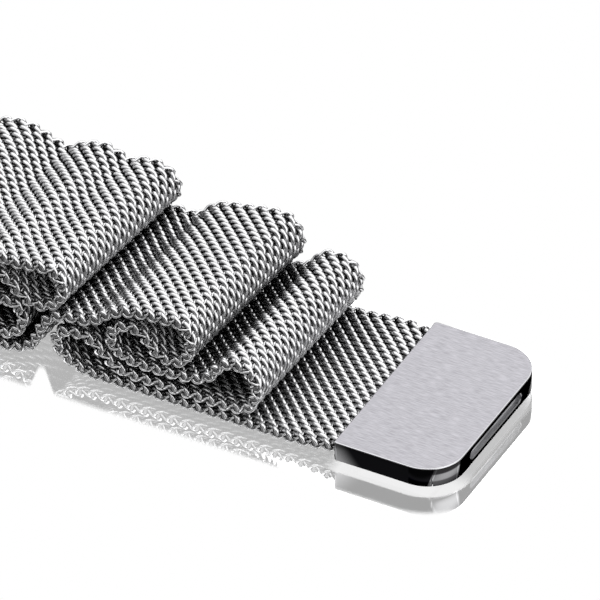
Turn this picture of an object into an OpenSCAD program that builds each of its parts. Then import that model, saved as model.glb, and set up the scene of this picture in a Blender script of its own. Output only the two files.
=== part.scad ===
// Magnetic mesh watch band, both halves laid out in line.
// The long half lies in ruffles with its magnetic tab at the right.
// The short half, with its ring, lies to the left.
// Frame: X along the band towards the tab's tip, Y across it, Z up.
// The origin is the middle of the tab's underside.

/* [Band] */
// Width of the tab and of the gap between the watch's lugs
band_w = 22; // [18:1:24]
// Thickness of the woven mesh
mesh_t = 1.1; // [0.9:0.05:1.3]
// How far the mesh's edge stands in from the tab's side
edge_inset = 0.4; // [0.2:0.1:1]
// Length of the short half's mesh between its two pivots
short_run = 40; // [25:1:60]
// Free space between the lug ends of the two halves
halves_gap = 0.7; // [0.6:0.1:5]

/* [Mesh pivots] */
// Radius of the one coil of the mesh that each fold turns on
coil_r = 0.5; // [0.35:0.05:0.5]
// Running clearance round that coil
coil_gap = 0.04; // [0.02:0.01:0.08]
// How far the mesh is cut back on each side of a pivot
pivot_relief = 0.3; // [0.25:0.05:0.4]
// Length of mesh between a metal end and its pivot
pivot_reach = 0.75; // [0.7:0.05:2]

/* [Tab] */
// Length of the tab
tab_len = 12.5; // [11:0.5:18]
// Thickness of the tab
tab_t = 2.3; // [2.2:0.1:3.2]
// Radius of the two corners at the tab's tip
tip_r = 4.1; // [2:0.1:5]
// Wall between the tab's hollow and its outside
tab_wall = 0.6; // [0.4:0.05:0.8]
// Wall at the tab's two long sides
tab_side_wall = 1; // [0.8:0.1:2]
// Depth of the mouth that holds the mesh
mouth_depth = 2; // [1:0.1:3]
// Thickness of the plate that closes the underside
base_t = 0.35; // [0.2:0.05:0.5]
// Width of the step that the closing plate sits on
base_ledge = 0.3; // [0.2:0.05:0.35]
// Thickness of the steel keeper plate above the magnets
keeper_t = 0.3; // [0.2:0.05:0.5]
// Number of magnets side by side
magnet_count = 4; // [2:1:5]
// Space between neighbouring magnets
magnet_gap = 0.4; // [0.2:0.1:1]
// Length of the slot in the tab's tip
slot_len = 11; // [6:0.5:12]
// Height of that slot
slot_h = 1.05; // [0.6:0.05:1.3]
// Depth of that slot
slot_depth = 0.9; // [0.6:0.1:1.2]
// Thickness of the satin strip at the slot's bottom
strip_t = 0.4; // [0.2:0.05:0.5]

/* [Lug ends] */
// Radius of the barrel that holds the spring bar
barrel_r = 1.4; // [1.35:0.05:2]
// Free space between a barrel's end and the watch's lug
lug_gap = 0.3; // [0.2:0.05:0.5]
// Reach of the jaws from the barrel's middle to the mesh
jaw_len = 3.4; // [3:0.1:5]
// Thickness of each jaw
jaw_wall = 0.5; // [0.4:0.05:0.8]
// Length of mesh held in the jaws
jaw_grip = 1.6; // [1:0.1:1.9]

/* [Spring bars] */
// Outer radius of the spring bar's tube
tube_r = 0.9; // [0.85:0.05:1]
// Radius of the plunger inside the tube
rod_r = 0.6; // [0.5:0.05:0.65]
// Radius of the two tips that enter the watch's lugs
bar_tip_r = 0.4; // [0.35:0.05:0.4]
// Reach of each tip into its lug
bar_tip_reach = 0.9; // [0.6:0.1:1.2]
// Travel of the release lever
release_travel = 1.3; // [1.2:0.1:1.6]
// Running clearance round the tube, the plunger and the ring's pin
run_gap = 0.05; // [0.02:0.01:0.08]
// Length of the spring behind the plunger
spring_len = 6.4; // [4:0.1:8]
// Distance of the lever from the plunger's tip end
lever_back = 4.6; // [4:0.1:6]
// Radius of the lever's button
button_r = 0.55; // [0.4:0.05:0.6]
// Radius of the lever's neck
neck_r = 0.3; // [0.2:0.05:0.35]

/* [Ring] */
// Thickness of the ring and width of the barrel that carries it
ring_t = 2.6; // [2.4:0.1:3.2]
// Clear space between that barrel and the ring's bar
ring_gap = 4.4; // [4.2:0.1:7]
// Width of the ring's bar
ring_bar = 2.2; // [1.6:0.1:3]
// Width of the ring's two arms
ring_arm = 1.8; // [1.4:0.1:3]
// Side clearance of the band in the ring
ring_side_gap = 0.3; // [0.2:0.05:1]
// Radius of the ring's corners
ring_corner_r = 2.2; // [1:0.1:3]
// Radius of the pin that the ring turns on
ring_pin_r = 0.6; // [0.4:0.05:0.7]

/* [Hidden] */
$fn = 64;
// Clearance between pieces that are pressed or welded together
press_gap = 0.02;
mesh_w = band_w - 2 * edge_inset;
// The mesh just clears the surface that it lies on
floor_gap = 0.05;
floor_z = mesh_t / 2 + floor_gap;
tab_z = tab_t / 2;
mouth_x = -tab_len / 2;
lug_z = barrel_r + press_gap;
jaw_t = mesh_t + 2 * jaw_wall;
// The ruffles were drawn for a mesh of this thickness, with its floor run at this
// height, and they grow with the thickness of the mesh
drawn_t = 1.1;
drawn_floor_z = 0.6;
ruffle = mesh_t / drawn_t;

// Each run goes from one fold to the next, leftwards from the tab.
// A point is x from the first pivot and height z of the near edge,
// then how far the far edge is shifted along x and z.
FLOOR_RUN = [
    [-1.6, 0.92, 0, 0], [-3.6, 0.68, 0, 0], [-6.2, 0.62, 0, 0], [-11.2, 0.6, 0, 0],
    [-17.2, 0.6, 0, 0], [-23.2, 0.6, 0.2, 0], [-27.4, 0.7, 0.3, 0], [-29.4, 1.5, 0.4, 0],
    [-30.6, 2.75, 0.5, 0], [-30.7, 3.95, 0.5, 0]
];
RUN_2 = [
    [-29.8, 4.85, 0.5, 0], [-28.3, 5.05, 0.5, 0], [-26.8, 4.7, 0.4, 0], [-25.7, 3.7, 0.4, 0],
    [-24.5, 2.75, 0.3, 0], [-23, 2.15, 0.2, 0], [-19.2, 2.02, 0.2, 0], [-14.2, 2, 0.4, 0],
    [-10.8, 2.05, 0.7, 0], [-9.3, 2.5, 0.7, -0.1], [-8.45, 3.85, 0.7, -0.2],
    [-8.3, 5.8, 0.7, -0.35]
];
RUN_3 = [
    [-9.4, 7.15, 0.7, -0.35], [-11.1, 7.4, 0.7, -0.35], [-12.4, 6.55, 0.7, -0.3],
    [-13.5, 5.05, 0.7, -0.2], [-14.9, 4.25, 0.7, 0], [-16.7, 3.95, 0.7, 0],
    [-19.7, 3.75, 0.8, 0], [-21.8, 3.8, 0.9, 0], [-23.2, 4.15, 1, 0], [-24.4, 5.1, 1, 0],
    [-24.5, 6.6, 1, -0.1]
];
RUN_4 = [
    [-23.4, 7.75, 1, -0.2], [-21.7, 7.85, 1, -0.3], [-20.4, 6.85, 1, -0.2],
    [-19.4, 5.75, 1, -0.1], [-18, 5.35, 1.2, -0.1], [-16.6, 5.8, 1.4, -0.2],
    [-15.8, 7.1, 1.5, -0.4], [-15.75, 9.1, 1.5, -0.7]
];
RUN_5 = [
    [-16.8, 10.3, 1.5, -0.7], [-18.5, 10.3, 1.5, -0.7], [-21, 10.1, 1.4, -0.7],
    [-23.3, 9.6, 1.3, -0.6], [-24.8, 8.8, 1.2, -0.4], [-26.1, 7.7, 1.2, -0.2],
    [-27.5, 7, 1.4, -0.1], [-29, 6.85, 1.4, -0.2], [-30.7, 6.4, 1.4, -0.2],
    [-31.95, 5.35, 1.3, -0.1], [-32.65, 3.85, 1.2, 0], [-33.25, 2.4, 1.2, 0],
    [-34.3, 1.3, 1.2, 0], [-36, 0.75, 1.2, 0], [-39.2, 0.6, 1, 0], [-44.2, 0.6, 1, 0],
    [-47.2, 0.72, 1, 0], [-49, 1.6, 1, 0], [-50, 2.9, 1, 0], [-49.8, 4.2, 1, 0]
];
RUN_6 = [
    [-48.6, 4.9, 1, 0], [-47.1, 4.7, 1, 0], [-45.8, 3.7, 1, 0], [-44.6, 2.75, 1, 0],
    [-43, 2.15, 1, 0], [-40.2, 2.05, 1, 0], [-37.2, 2.1, 1.2, 0], [-35.6, 2.6, 1.5, 0],
    [-34.6, 3.95, 1.6, -0.1], [-34.8, 5.5, 1.7, -0.2]
];
RUN_7 = [
    [-36.1, 6.35, 1.7, -0.2], [-37.7, 5.95, 1.7, -0.2], [-39.2, 4.85, 1.7, -0.1],
    [-40.7, 4.15, 1.7, 0], [-42.4, 4.1, 1.7, 0], [-43.9, 4.9, 1.7, 0], [-44.3, 6.3, 1.7, 0]
];
RUN_8 = [
    [-43.4, 7.5, 1.7, -0.2], [-41.6, 8.2, 1.7, -0.4], [-39.4, 9.1, 1.8, -0.7],
    [-37.6, 9.45, 1.9, -0.9], [-36.15, 8.95, 1.9, -0.8], [-35.1, 7.95, 1.9, -0.6],
    [-33.8, 7.15, 1.8, -0.3], [-32.3, 7.1, 1.8, -0.2], [-30.9, 7.85, 1.9, -0.3],
    [-30.15, 9.1, 2, -0.9], [-30.25, 10.8, 2, -1.7]
];
TAIL_RUN = [
    [-31.3, 11.85, 2, -1.7], [-33, 11.8, 2, -1.5], [-35.4, 11.45, 2, -1.2],
    [-37.8, 11.6, 1.9, -1.1], [-40.2, 10.6, 1.9, -0.8], [-42.2, 10.3, 1.9, -0.8],
    [-44.4, 11, 1.9, -1], [-46.4, 11.5, 1.9, -1], [-48.5, 10.8, 1.5, -0.6],
    [-50.4, 8.9, 1.2, -0.3], [-51.8, 6.4, 1, -0.1], [-53, 3.6, 1, 0], [-54.5, 1.5, 0.8, 0],
    [-56.4, 0.78, 0.5, 0], [-58.4, 0.92, 0.2, 0], [-60.4, 1.34, 0, 0]
];
RUNS = [FLOOR_RUN, RUN_2, RUN_3, RUN_4, RUN_5, RUN_6, RUN_7, RUN_8, TAIL_RUN];
// Place of the last pivot, from the first one
drawn_tail = -62;

first_x = mouth_x - pivot_reach;
// Middle of the mesh at a route point, in the part's frame
function middle(p) = [
    first_x + (p[0] + p[2] / 2) * ruffle,
    (p[1] + p[3] / 2 - drawn_floor_z) * ruffle + floor_z
];
last_x = first_x + drawn_tail * ruffle;
ROUTE = concat(
    [[first_x, tab_z]],
    [for (run = RUNS) for (p = run) middle(p)],
    [[last_x, lug_z]]
);
// Index in the route of the pivot that ends each run
function runs_before(n) = n == 0 ? 0 : runs_before(n - 1) + len(RUNS[n - 1]);
last_run = len(RUNS);
function pivot_index(n) = n == last_run ? len(ROUTE) - 1 : runs_before(n);

// A smooth curve through four points, by the square root of their spacing
function knot(a, b) = sqrt(norm(b - a));
function between(a, b, ta, tb, t) = (a * (tb - t) + b * (t - ta)) / (tb - ta);
function curve_at(p, u) =
    let (t1 = knot(p[0], p[1]), t2 = t1 + knot(p[1], p[2]), t3 = t2 + knot(p[2], p[3]))
    let (t = t1 + (t2 - t1) * u)
    let (a1 = between(p[0], p[1], 0, t1, t))
    let (a2 = between(p[1], p[2], t1, t2, t))
    let (a3 = between(p[2], p[3], t2, t3, t))
    between(between(a1, a2, 0, t2, t), between(a2, a3, t1, t3, t), t1, t2, t);
function route_point(i) =
    i < 0 ? 2 * ROUTE[0] - ROUTE[1]
    : i >= len(ROUTE) ? 2 * ROUTE[len(ROUTE) - 1] - ROUTE[len(ROUTE) - 2]
    : ROUTE[i];
// Steps of the curve between two route points
steps = 3;
LINE = [
    for (i = [0:len(ROUTE) - 2]) for (k = [0:steps - 1])
        curve_at([for (j = [-1:2]) route_point(i + j)], k / steps),
    ROUTE[len(ROUTE) - 1]
];
function line_point(i) = LINE[max(0, min(len(LINE) - 1, i))];
function heading(i) = let (d = line_point(i + 1) - line_point(i - 1)) d / norm(d);
function side(i, offset) = line_point(i) + offset * [-heading(i)[1], heading(i)[0]];
function heading_angle(i) = atan2(heading(i)[1], heading(i)[0]);

// Small offset that keeps cutting tools clear of the faces they cut
eps = 0.01;
through = 2 * band_w;

module across(length) {
    rotate([90, 0, 0])
        linear_extrude(height = length, center = true)
            children();
}

module rod(r, length) {
    rotate([90, 0, 0])
        cylinder(h = length, r = r, center = true);
}

// A rod along Y between two places
module rod_between(r, y0, y1) {
    translate([0, (y0 + y1) / 2, 0])
        rod(r, abs(y1 - y0));
}

// Mesh strip between two indices of the line
module ribbon(from, to) {
    across(mesh_w)
        polygon(concat(
            [for (i = [from:to]) side(i, mesh_t / 2)],
            [for (i = [to:-1:from]) side(i, -mesh_t / 2)]
        ));
}

// What is cut from a strip's end beside a pivot: dir is 1 ahead of it and -1 behind it
module pivot_cut(dir, gap) {
    rod(coil_r + gap, through);
    translate([dir * (pivot_relief - mesh_t) / 2, 0, 0])
        cube([pivot_relief + mesh_t, through, 2 * mesh_t], center = true);
}

module at_line(i) {
    translate([LINE[i][0], 0, LINE[i][1]])
        rotate([0, -heading_angle(i), 0])
            children();
}

// Run n of the mesh, with its two ends cut back for the pivots. It carries the
// coil at the end nearer the root, so that coil is close and the other one runs free.
module mesh_run(n) {
    from = steps * pivot_index(n);
    to = steps * pivot_index(n + 1);
    color("silver")
        difference() {
            ribbon(from, to);
            at_line(from) pivot_cut(1, coil_gap);
            at_line(to) pivot_cut(-1, 0);
        }
}

// The coil that the fold after run n turns on
module pivot_coil(n) {
    color("gainsboro")
        at_line(steps * pivot_index(n))
            rod(coil_r, mesh_w);
}

// Tab
cavity_x0 = mouth_x + mouth_depth + tab_wall;
tip_x = tab_len / 2;
cavity_half = band_w / 2 - tab_side_wall;
corner_room = sqrt(max(0, pow(tip_r - tab_wall, 2) - pow(max(0, tip_r - tab_side_wall), 2)));
cavity_x1 = min(tip_x - slot_depth - tab_wall, tip_x - tip_r + corner_room);
roof_z = tab_t - tab_wall;
magnet_w = (2 * cavity_half - (magnet_count + 1) * magnet_gap) / magnet_count;

module tab_outline() {
    r = tip_r;
    translate([mouth_x, -band_w / 2])
        square([tab_len - r, band_w]);
    translate([mouth_x, -band_w / 2 + r])
        square([tab_len, band_w - 2 * r]);
    for (s = [-1, 1])
        translate([tip_x - r, s * (band_w / 2 - r)])
            circle(r);
}

// Slot with round ends in the tab's tip, to a depth and with a margin all round
module tip_slot(depth_from, depth_to, margin) {
    h = slot_h - 2 * margin;
    reach = slot_len - 2 * margin;
    translate([tip_x - depth_to, 0, tab_z])
        rotate([90, 0, 90])
            linear_extrude(height = depth_to - depth_from) {
                square([reach - h, h], center = true);
                for (s = [-1, 1])
                    translate([s * (reach - h) / 2, 0])
                        circle(h / 2);
            }
}

module tab_housing() {
    color("lightgray")
        difference() {
            linear_extrude(height = tab_t) tab_outline();
            translate([cavity_x0, -cavity_half, -eps])
                cube([cavity_x1 - cavity_x0, 2 * cavity_half, roof_z + eps]);
            translate([cavity_x0 - base_ledge, -cavity_half - base_ledge, -eps])
                cube([
                    cavity_x1 - cavity_x0 + 2 * base_ledge,
                    2 * (cavity_half + base_ledge),
                    base_t + eps
                ]);
            translate([mouth_x - eps, -mesh_w / 2 - press_gap, tab_z - mesh_t / 2 - press_gap])
                cube([mouth_depth + eps, mesh_w + 2 * press_gap, mesh_t + 2 * press_gap]);
            tip_slot(-eps, slot_depth, 0);
        }
}

module tab_closing_plate() {
    room = base_ledge - press_gap;
    color("gray")
        translate([cavity_x0 - room, -cavity_half - room, 0])
            cube([cavity_x1 - cavity_x0 + 2 * room, 2 * (cavity_half + room), base_t]);
}

module tab_keeper_plate() {
    color("dimgray")
        translate([cavity_x0 + press_gap, -cavity_half + press_gap, roof_z - keeper_t])
            cube([
                cavity_x1 - cavity_x0 - 2 * press_gap,
                2 * (cavity_half - press_gap),
                keeper_t - press_gap
            ]);
}

module tab_magnets() {
    color("slategray")
        for (i = [0:magnet_count - 1])
            translate([
                cavity_x0 + press_gap,
                -cavity_half + magnet_gap + i * (magnet_w + magnet_gap),
                base_t + press_gap
            ])
                cube([
                    cavity_x1 - cavity_x0 - 2 * press_gap,
                    magnet_w,
                    roof_z - keeper_t - base_t - 2 * press_gap
                ]);
}

module tab_slot_strip() {
    color("darkgray")
        tip_slot(slot_depth - strip_t, slot_depth - press_gap, press_gap);
}

module tab_mesh_end() {
    length = pivot_reach + mouth_depth - press_gap;
    color("silver")
        difference() {
            translate([first_x + length / 2, 0, tab_z])
                cube([length, mesh_w, mesh_t], center = true);
            translate([first_x, 0, tab_z])
                pivot_cut(1, coil_gap);
        }
}

// Lug ends: drawn with the spring bar's axis on Y and the mesh towards +X
module lug_end() {
    barrel_len = band_w - 2 * lug_gap;
    slot_y = barrel_len / 2 + press_gap + lug_gap;
    color("lightgray")
        difference() {
            union() {
                rod(barrel_r, barrel_len);
                translate([jaw_len / 2, 0, 0])
                    cube([jaw_len, barrel_len, jaw_t], center = true);
            }
            rod(tube_r + run_gap, through);
            translate([jaw_len - jaw_grip, -slot_y, -mesh_t / 2 - press_gap])
                cube([jaw_grip + eps, 2 * slot_y, mesh_t + 2 * press_gap]);
            button_window(button_r + run_gap, barrel_r);
        }
}

// Place of the lever on the bar, and the window that it slides in
plunger_end = band_w / 2 + bar_tip_reach;
lever_y = plunger_end - lever_back;

module button_window(half, depth) {
    translate([-half, lever_y - release_travel - half, -depth - eps])
        cube([2 * half, release_travel + 2 * half, depth + eps]);
}

// Bar: the tube's closed end carries the fixed tip at -Y. The lever's neck, in its
// window, keeps the plunger in the tube's open end.
tube_end = band_w / 2 - lug_gap;
tip_root = 0.3;
rod_tail = 1.3;
rod_start = lever_y - rod_tail;
spring_bore_r = 0.36;

module bar_tube() {
    bore_r = rod_r + run_gap;
    spring_start = rod_start - spring_len - press_gap;
    color("gainsboro")
        difference() {
            union() {
                rod_between(tube_r, -tube_end, tube_end);
                rod_between(bar_tip_r, -tube_end + tip_root, -plunger_end);
            }
            rod_between(bore_r, spring_start, tube_end + eps);
            button_window(neck_r + run_gap, tube_r);
        }
}

module bar_plunger() {
    color("silver")
        union() {
            rod_between(rod_r, rod_start, tube_end);
            rod_between(bar_tip_r, tube_end - tip_root, plunger_end);
        }
}

module bar_spring() {
    color("darkgray")
        difference() {
            rod_between(rod_r, rod_start - spring_len, rod_start - press_gap);
            rod(spring_bore_r, through);
        }
}

module release_lever() {
    button_t = 0.35;
    button_inset = 0.1;
    button_z = button_inset - barrel_r;
    color("gray")
        translate([0, lever_y, 0])
            difference() {
                union() {
                    translate([0, 0, button_z])
                        cylinder(h = button_t, r = button_r);
                    translate([0, 0, button_z])
                        cylinder(h = -button_z, r = neck_r);
                }
                rod(rod_r, 4 * button_r);
            }
}

long_bar_x = last_x - pivot_reach - jaw_len;
short_bar_x = long_bar_x - 2 * barrel_r - halves_gap;
short_pivot_x = short_bar_x - jaw_len - pivot_reach;

module at_long_bar() {
    translate([long_bar_x, 0, lug_z])
        children();
}

module at_short_bar() {
    translate([short_bar_x, 0, lug_z])
        rotate([0, 0, 180])
            children();
}

// Mesh held in a lug end's jaws, with its pivot cut
module held_mesh() {
    length = jaw_grip + pivot_reach - press_gap;
    color("silver")
        difference() {
            translate([jaw_len + pivot_reach - length / 2, 0, 0])
                cube([length, mesh_w, mesh_t], center = true);
            translate([jaw_len + pivot_reach, 0, 0])
                pivot_cut(-1, coil_gap);
        }
}

module lug_pivot_coil() {
    color("gainsboro")
        translate([jaw_len + pivot_reach, 0, 0])
            rod(coil_r, mesh_w);
}

// Short half: its mesh drops from the lug end to the surface and rises to the ring
ring_z = ring_t / 2;
drop = 4;
held_end = 3.2;
ring_barrel_x = short_pivot_x - short_run;
ring_pin_x = ring_barrel_x - jaw_len;

module short_mesh_run() {
    x0 = short_pivot_x;
    end_x = ring_barrel_x - jaw_grip + press_gap;
    x1 = end_x + held_end;
    h = mesh_t / 2;
    color("silver")
        difference() {
            across(mesh_w)
                polygon([
                    [x0, lug_z + h], [x0 - drop, floor_z + h], [x1 + drop, floor_z + h],
                    [x1, ring_z + h], [end_x, ring_z + h],
                    [end_x, ring_z - h], [x1, ring_z - h],
                    [x1 + drop, floor_z - h], [x0 - drop, floor_z - h], [x0, lug_z - h]
                ]);
            translate([x0, 0, lug_z])
                pivot_cut(-1, 0);
        }
}

module ring_barrel() {
    jaw_x = ring_barrel_x - ring_pin_x;
    color("lightgray")
        translate([ring_pin_x, 0, ring_z])
            difference() {
                union() {
                    rod(ring_t / 2, band_w);
                    translate([jaw_x / 2, 0, 0])
                        cube([jaw_x, band_w, jaw_t], center = true);
                }
                rod(ring_pin_r + run_gap, through);
                translate([jaw_x - jaw_grip, -through / 2, -mesh_t / 2 - press_gap])
                    cube([jaw_grip + eps, through, mesh_t + 2 * press_gap]);
            }
}

ring_inner_w = band_w + 2 * ring_side_gap;
ring_outer_w = ring_inner_w + 2 * ring_arm;
ring_reach = ring_t / 2 + ring_gap + ring_bar;

module ring_pin() {
    color("silver")
        translate([ring_pin_x, 0, ring_z])
            rod(ring_pin_r, ring_outer_w - ring_arm);
}

module ring_loop() {
    r = ring_corner_r;
    color("lightgray")
        translate([ring_pin_x, 0, 0])
            difference() {
                union() {
                    linear_extrude(height = ring_t) {
                        translate([-ring_reach + r, -ring_outer_w / 2])
                            square([ring_reach - r, ring_outer_w]);
                        translate([-ring_reach, -ring_outer_w / 2 + r])
                            square([ring_reach, ring_outer_w - 2 * r]);
                        for (s = [-1, 1])
                            translate([-ring_reach + r, s * (ring_outer_w / 2 - r)])
                                circle(r);
                    }
                    translate([0, 0, ring_z])
                        rod(ring_t / 2, ring_outer_w);
                }
                translate([-ring_reach + ring_bar, -ring_inner_w / 2, -eps])
                    cube([2 * ring_reach, ring_inner_w, ring_t + 2 * eps]);
                translate([0, 0, ring_z])
                    rod(ring_pin_r, ring_outer_w - ring_arm);
            }
}

module mesh_run_1() { mesh_run(0); }
module mesh_run_2() { mesh_run(1); }
module mesh_run_3() { mesh_run(2); }
module mesh_run_4() { mesh_run(3); }
module mesh_run_5() { mesh_run(4); }
module mesh_run_6() { mesh_run(5); }
module mesh_run_7() { mesh_run(6); }
module mesh_run_8() { mesh_run(7); }
module mesh_run_9() { mesh_run(8); }

tab_housing();
tab_closing_plate();
tab_keeper_plate();
tab_magnets();
tab_slot_strip();
tab_mesh_end();
pivot_coil(0);  // tab_pivot_coil
mesh_run_1();
mesh_run_2();
mesh_run_3();
mesh_run_4();
mesh_run_5();
mesh_run_6();
mesh_run_7();
mesh_run_8();
mesh_run_9();
pivot_coil(1);  // fold_coil_1
pivot_coil(2);  // fold_coil_2
pivot_coil(3);  // fold_coil_3
pivot_coil(4);  // fold_coil_4
pivot_coil(5);  // fold_coil_5
pivot_coil(6);  // fold_coil_6
pivot_coil(7);  // fold_coil_7
pivot_coil(8);  // fold_coil_8
pivot_coil(9);  // long_pivot_coil
at_long_bar() held_mesh();  // long_mesh_end
at_long_bar() lug_end();  // long_lug_end
at_long_bar() bar_tube();  // long_bar_tube
at_long_bar() bar_spring();  // long_bar_spring
at_long_bar() bar_plunger();  // long_bar_plunger
at_long_bar() release_lever();  // long_release_lever
at_short_bar() lug_pivot_coil();  // short_pivot_coil
at_short_bar() held_mesh();  // short_mesh_end
at_short_bar() lug_end();  // short_lug_end
at_short_bar() bar_tube();  // short_bar_tube
at_short_bar() bar_spring();  // short_bar_spring
at_short_bar() bar_plunger();  // short_bar_plunger
at_short_bar() release_lever();  // short_release_lever
short_mesh_run();
ring_barrel();
ring_pin();
ring_loop();
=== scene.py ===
"""Magnetic mesh watch band: the long half in ruffles with its tab, and the short half with its ring.

Metres, in the part's frame: X along the band towards the tab's tip, Y across it, Z up.
"""

import math

import bpy
import numpy as np
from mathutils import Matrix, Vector


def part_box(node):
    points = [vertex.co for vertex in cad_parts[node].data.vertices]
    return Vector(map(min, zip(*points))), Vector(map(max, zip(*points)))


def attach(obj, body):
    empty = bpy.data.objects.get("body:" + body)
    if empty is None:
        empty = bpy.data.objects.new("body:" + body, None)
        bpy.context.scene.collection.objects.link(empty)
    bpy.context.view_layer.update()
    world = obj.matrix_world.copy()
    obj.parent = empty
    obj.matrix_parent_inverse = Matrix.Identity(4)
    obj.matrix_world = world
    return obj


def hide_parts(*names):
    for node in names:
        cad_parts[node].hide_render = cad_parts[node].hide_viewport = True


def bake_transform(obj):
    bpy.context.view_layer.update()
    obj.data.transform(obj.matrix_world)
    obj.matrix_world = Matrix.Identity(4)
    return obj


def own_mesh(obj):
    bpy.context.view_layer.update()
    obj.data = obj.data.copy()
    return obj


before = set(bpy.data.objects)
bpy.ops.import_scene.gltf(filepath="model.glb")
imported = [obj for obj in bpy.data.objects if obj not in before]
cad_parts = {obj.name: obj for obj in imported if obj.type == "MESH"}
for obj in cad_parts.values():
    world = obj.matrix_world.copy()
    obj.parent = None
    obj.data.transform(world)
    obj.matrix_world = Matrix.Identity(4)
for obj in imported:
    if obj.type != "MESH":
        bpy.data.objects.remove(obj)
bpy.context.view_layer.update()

MM = 0.001

# Sizes of the band, in millimetres
BAND_W = 22.0
MESH_W = 21.2
TAB_LEN = 12.5
TAB_T = 2.3
TIP_R = 4.1
MOUTH_CORNER_R = 0.35

# The mesh's pivots beside the tab and the lug ends, as x and z in millimetres,
# and its points inside the tab's mouth and the long lug end's jaws
FIRST_PIVOT = (-7.0, 1.15)
LAST_PIVOT = (-69.0, 1.42)
SHORT_PIVOT = (-80.8, 1.42)
MOUTH_POINTS = [(-4.5, 1.15), (-5.8, 1.15)]
JAW_POINTS = [(-70.2, 1.42), (-71.4, 1.42)]

# Lengths of mesh that bend: to either side of a fold's pivot, out from the pivot beside the tab
# or a lug end, and from there into the mouth or the jaws
FOLD_REACH = 3.1
END_REACH = 2.6
HELD_REACH = 0.75

# Route of the short half's mesh, from its lug end to its ring
SHORT_ROUTE = [
    (-78.4, 1.42), (-79.6, 1.42), SHORT_PIVOT, (-83, 0.95), (-85.2, 0.64), (-88, 0.6),
    (-94, 0.6), (-104, 0.6), (-112, 0.6), (-115.2, 0.64), (-117.6, 0.95), (-119.4, 1.28),
    (-121, 1.3), (-122.4, 1.3),
]

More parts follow.
